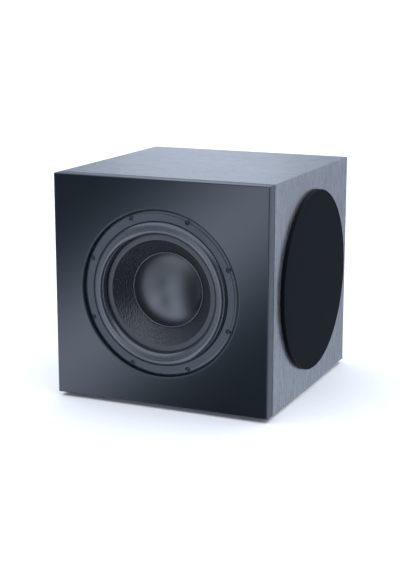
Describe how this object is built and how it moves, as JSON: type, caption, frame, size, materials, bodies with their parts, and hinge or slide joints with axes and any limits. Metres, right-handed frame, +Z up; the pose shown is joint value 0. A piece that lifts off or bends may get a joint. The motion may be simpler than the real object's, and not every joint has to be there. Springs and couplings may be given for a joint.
{
  "type": "subwoofer",
  "caption": "Cube-shaped powered subwoofer with a forward driver, a passive radiator behind a round grille in each side, and a rear plate amplifier.",
  "frame": {"origin": "on the floor under the feet, at the centre of the overall box", "axes": "+Y to the rear, away from the driver; +X to the right side grille seen from the front; +Z up"},
  "size_m": [0.436, 0.45, 0.423],
  "materials": {
    "gloss_lacquer": "high-gloss black-blue lacquer",
    "satin_board": "fibreboard with dark satin paint",
    "brushed_panel": "fibreboard faced with brushed anthracite foil",
    "bare_board": "bare fibreboard",
    "black_rubber": "moulded black rubber",
    "gasket_rubber": "moulded satin rubber",
    "roll_rubber": "satin butyl rubber",
    "black_steel": "black oxide screws",
    "cast_frame": "cast aluminium, satin black powder coat",
    "pulp_cone": "pressed fibre pulp, black",
    "satin_cap": "smooth satin cap",
    "former_film": "thin wound former",
    "copper_wire": "enamelled copper winding",
    "spider_cloth": "resin-dipped cotton",
    "motor_steel": "plated steel",
    "ferrite": "sintered ferrite",
    "black_plastic": "black moulded plastic",
    "braided_lead": "braided copper",
    "painted_plate": "textured black paint",
    "black_aluminium": "black anodised extrusion",
    "board_laminate": "green laminate with aluminium cans",
    "wound_tape": "toroid wrapped in polyester tape",
    "nickel_pins": "nickel-plated brass",
    "lamp_lens": "green diffused lens",
    "knob_plastic": "satin black plastic",
    "jack_metal": "gold-plated brass",
    "lead_sheath": "twin cable in black sheath",
    "white_wadding": "polyester wadding",
    "grille_plastic": "satin black moulded ring",
    "grille_cloth": "knitted black acoustic cloth"
  },
  "bodies": {
    "cabinet": {"amp_plate": "painted_plate", "amp_screws": "black_steel", "baffle_board": "satin_board", "bottom_panel": "brushed_panel", "circuit_board": "board_laminate", "damping_wadding": "white_wadding", "driver_basket": "cast_frame", "driver_gasket": "gasket_rubber", "driver_lead": "lead_sheath", "driver_screws": "black_steel", "driver_spider": "spider_cloth", "driver_surround": "roll_rubber", "foot_screws": "black_steel", "front_fascia": "gloss_lacquer", "fuse_holder": "black_plastic", "grille_sockets": "black_rubber", "heat_sink": "black_aluminium", "inlet_pins": "nickel_pins", "input_jacks": "jack_metal", "lead_clip": "black_plastic", "left_radiator_frame": "cast_frame", "left_radiator_spider": "spider_cloth", "left_radiator_surround": "roll_rubber", "left_side_panel": "brushed_panel", "magnet_rings": "ferrite", "mains_inlet": "black_plastic", "pole_piece": "motor_steel", "potentiometers": "motor_steel", "radiator_screws": "black_steel", "rear_panel": "satin_board", "right_radiator_frame": "cast_frame", "right_radiator_spider": "spider_cloth", "right_radiator_surround": "roll_rubber", "right_side_panel": "brushed_panel", "rubber_feet": "black_rubber", "status_lamp": "lamp_lens", "switch_bodies": "black_plastic", "terminal_block": "black_plastic", "tinsel_leads": "braided_lead", "top_panel": "brushed_panel", "top_plate": "motor_steel", "transformer": "wound_tape", "window_brace": "bare_board"},
    "driver_diaphragm": {"driver_cone": "pulp_cone", "driver_dust_cap": "satin_cap", "voice_coil_former": "former_film", "voice_coil": "copper_wire"},
    "left_radiator": {"left_radiator_cone": "pulp_cone", "left_radiator_weight": "motor_steel"},
    "right_radiator": {"right_radiator_cone": "pulp_cone", "right_radiator_weight": "motor_steel"},
    "left_grille": {"left_grille_frame": "grille_plastic", "left_grille_cloth": "grille_cloth"},
    "right_grille": {"right_grille_frame": "grille_plastic", "right_grille_cloth": "grille_cloth"},
    "volume_knob": {"volume_knob": "knob_plastic"},
    "crossover_knob": {"crossover_knob": "knob_plastic"},
    "phase_lever": {"phase_lever": "knob_plastic"},
    "standby_lever": {"standby_lever": "knob_plastic"},
    "mains_rocker": {"mains_rocker": "knob_plastic"}
  },
  "joints": [
    {"name": "driver_travel", "type": "slide", "parent": "cabinet", "child": "driver_diaphragm", "axis": [0, -1, 0], "range_m": [-0.012, 0.012], "stiffness_N_per_m": 4000, "deforming": ["driver_surround", "driver_spider", "tinsel_leads"]},
    {"name": "left_radiator_travel", "type": "slide", "parent": "cabinet", "child": "left_radiator", "axis": [-1, 0, 0], "range_m": [-0.012, 0.012], "stiffness_N_per_m": 5000, "deforming": ["left_radiator_surround", "left_radiator_spider"]},
    {"name": "right_radiator_travel", "type": "slide", "parent": "cabinet", "child": "right_radiator", "axis": [1, 0, 0], "range_m": [-0.012, 0.012], "stiffness_N_per_m": 5000, "deforming": ["right_radiator_surround", "right_radiator_spider"]},
    {"name": "left_grille_pull", "type": "slide", "parent": "cabinet", "child": "left_grille", "axis": [-1, 0, 0], "range_m": [0, 0.06]},
    {"name": "right_grille_pull", "type": "slide", "parent": "cabinet", "child": "right_grille", "axis": [1, 0, 0], "range_m": [0, 0.06]},
    {"name": "volume_turn", "type": "hinge", "parent": "cabinet", "child": "volume_knob", "pos_m": [0.075, 0.21203, 0.34], "axis": [0, 1, 0], "range_deg": [-150, 150]},
    {"name": "crossover_turn", "type": "hinge", "parent": "cabinet", "child": "crossover_knob", "pos_m": [0.075, 0.21203, 0.29], "axis": [0, 1, 0], "range_deg": [-150, 150]},
    {"name": "phase_slide", "type": "slide", "parent": "cabinet", "child": "phase_lever", "axis": [1, 0, 0], "range_m": [0, 0.006]},
    {"name": "standby_slide", "type": "slide", "parent": "cabinet", "child": "standby_lever", "axis": [1, 0, 0], "range_m": [0, 0.006]},
    {"name": "mains_rock", "type": "hinge", "parent": "cabinet", "child": "mains_rocker", "pos_m": [0.02, 0.21103, 0.092], "axis": [1, 0, 0], "range_deg": [0, 16]}
  ]
}
